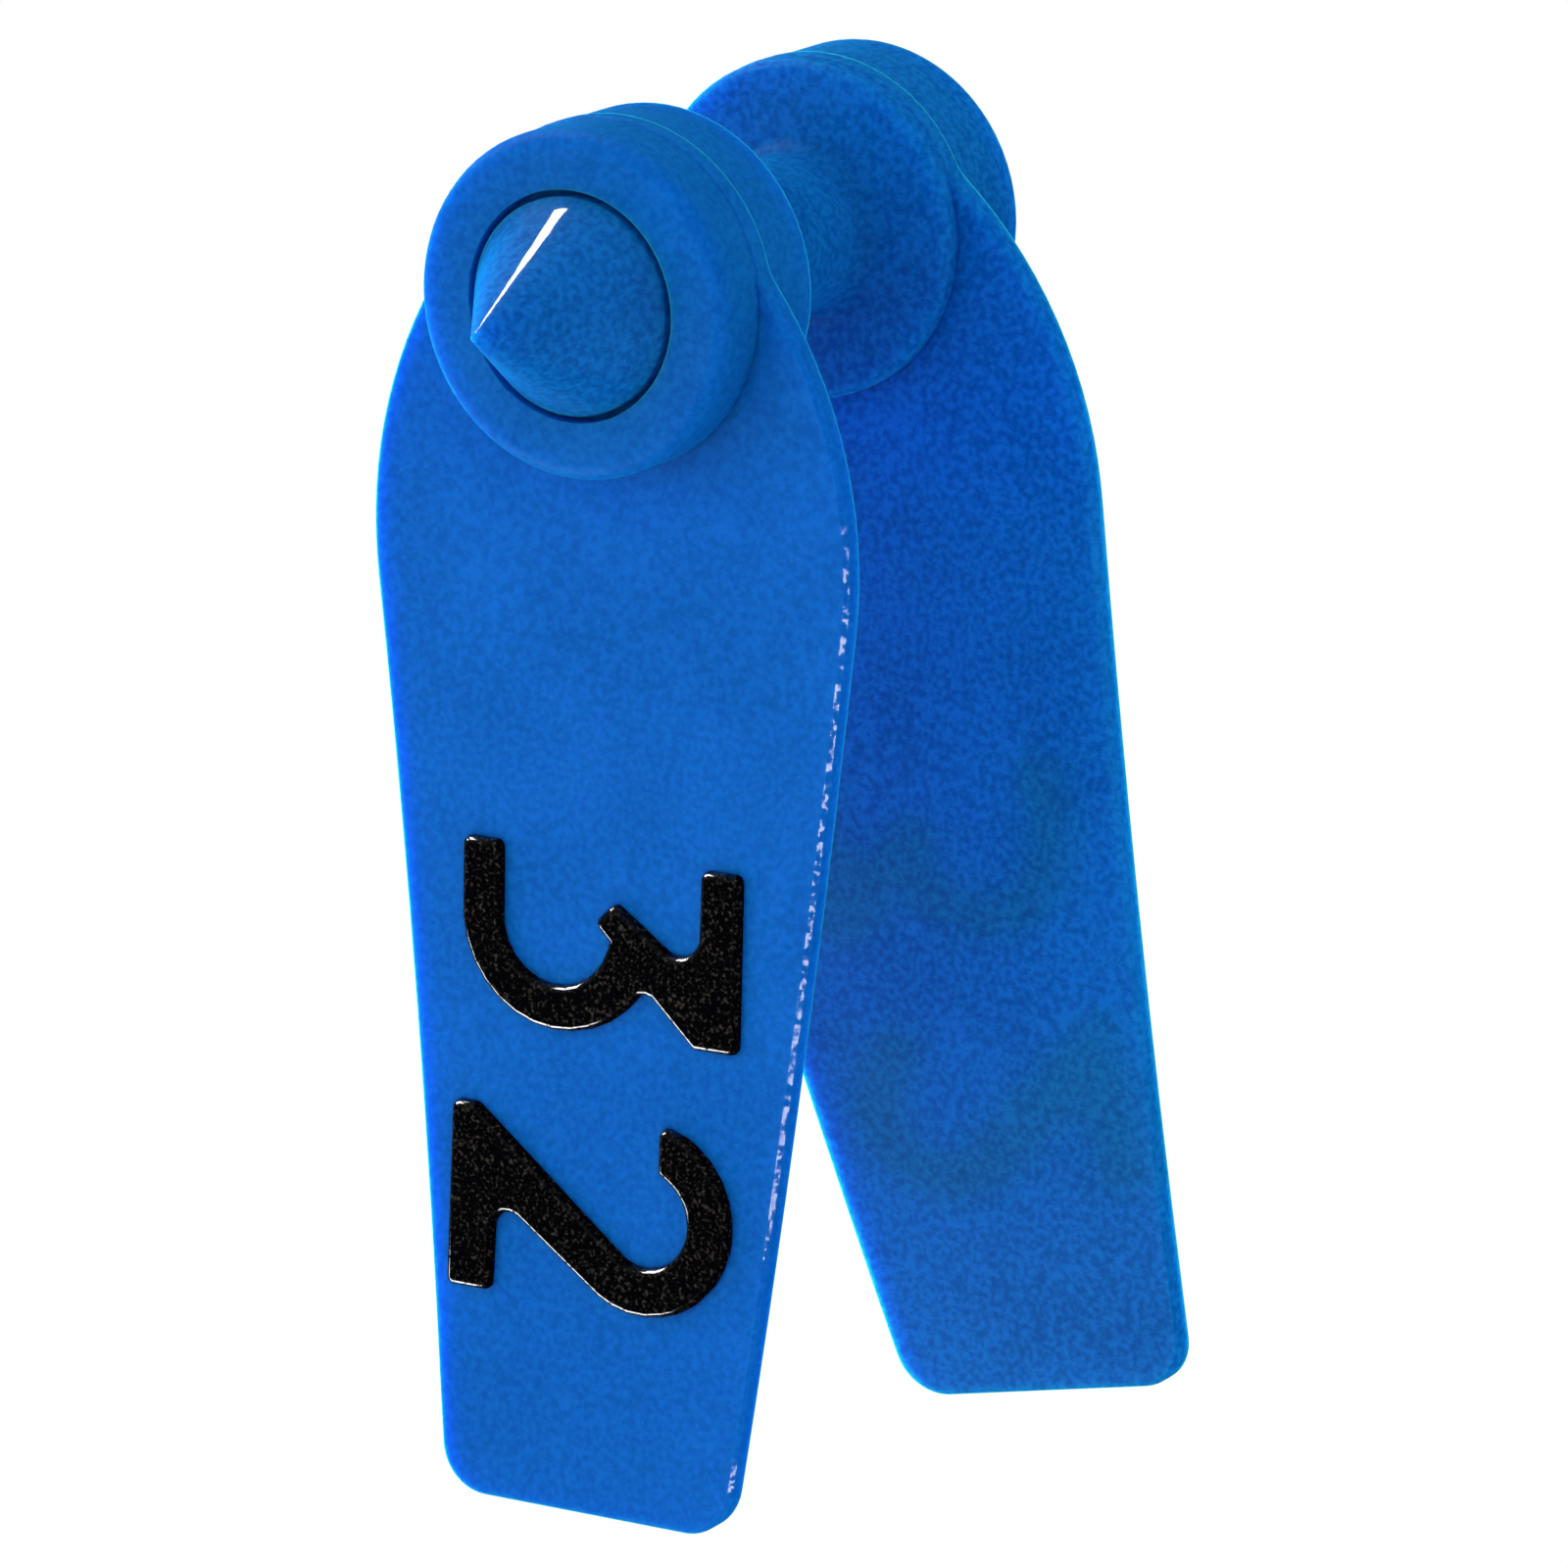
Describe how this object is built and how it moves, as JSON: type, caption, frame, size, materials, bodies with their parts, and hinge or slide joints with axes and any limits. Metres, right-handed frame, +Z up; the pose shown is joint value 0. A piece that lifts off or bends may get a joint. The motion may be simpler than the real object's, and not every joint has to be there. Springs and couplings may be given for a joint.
{
  "type": "livestock ear tag",
  "caption": "Plastic ear tag for livestock: bowed blue blades either side of the ear, joined by a stud with a pointed locking head, with raised black figures on their outer faces.",
  "frame": {"origin": "on the stud's axis, midway between the inner faces of the two blades, where the ear sits", "axes": "+Z up along the hanging front blade, +Y along the stud from its pointed head to the back boss, +X to the right seen from the front"},
  "size_m": [0.022, 0.0249, 0.0458],
  "materials": {
    "blue_plastic": "satin",
    "black_figures": "gloss"
  },
  "bodies": {
    "male": {"male_tag": "blue_plastic", "male_three": "black_figures", "male_two": "black_figures"},
    "female": {"female_tag": "blue_plastic", "female_three": "black_figures", "female_two": "black_figures"}
  },
  "joints": [
    {"name": "female_turn", "type": "hinge", "parent": "male", "child": "female", "pos_m": [0, 0, 0], "axis": [0, 1, 0], "continuous": true}
  ]
}
